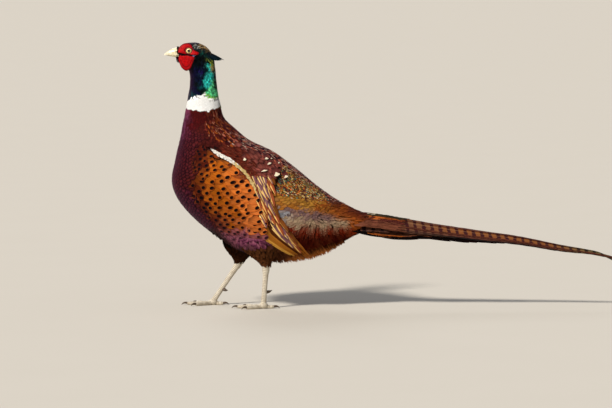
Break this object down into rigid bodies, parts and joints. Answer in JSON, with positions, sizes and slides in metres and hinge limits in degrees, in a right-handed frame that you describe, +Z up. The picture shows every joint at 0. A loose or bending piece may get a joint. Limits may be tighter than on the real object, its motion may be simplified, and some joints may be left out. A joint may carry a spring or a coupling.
{
  "type": "common pheasant",
  "caption": "Life-size museum-style model of a standing cock common pheasant with folded wings, a white neck ring, red face skin and a long pointed tail.",
  "frame": {"origin": "on the floor, under the middle of the bird's box", "axes": "+X along the bird's length towards the tail, so the bird faces -X; -Y is its left side; +Z up"},
  "size_m": [0.7649, 0.1496, 0.4362],
  "materials": {
    "plumage_head": "glossy dark blue-green plumage",
    "plumage_collar": "matte white plumage",
    "plumage_breast": "satin maroon and orange plumage",
    "plumage_rump": "loose olive-brown plumage",
    "plumage_wing": "brown flight feathers",
    "plumage_tail": "barred brown tail feathers",
    "plumage_thigh": "dull dark brown plumage",
    "wattle": "red bare skin",
    "bill": "smooth pale horn",
    "eye": "wet and glossy",
    "leg": "scaly skin",
    "claw": "smooth dark horn"
  },
  "bodies": {
    "root": {"head": "plumage_head", "neck": "plumage_head", "ear_tuft_left": "plumage_head", "ear_tuft_right": "plumage_head", "collar": "plumage_collar", "torso": "plumage_breast", "rump": "plumage_rump", "wing_left": "plumage_wing", "wing_right": "plumage_wing", "tail": "plumage_tail", "thigh_left": "plumage_thigh", "thigh_right": "plumage_thigh", "wattle_left": "wattle", "wattle_right": "wattle", "bill_upper": "bill", "bill_lower": "bill", "eye_left": "eye", "eye_right": "eye", "shank_left": "leg", "shank_right": "leg", "foot_left": "leg", "foot_right": "leg", "claw_left_1": "claw", "claw_left_2": "claw", "claw_left_3": "claw", "claw_left_4": "claw", "claw_right_1": "claw", "claw_right_2": "claw", "claw_right_3": "claw", "claw_right_4": "claw", "spur_left": "claw", "spur_right": "claw"}
  },
  "joints": []
}
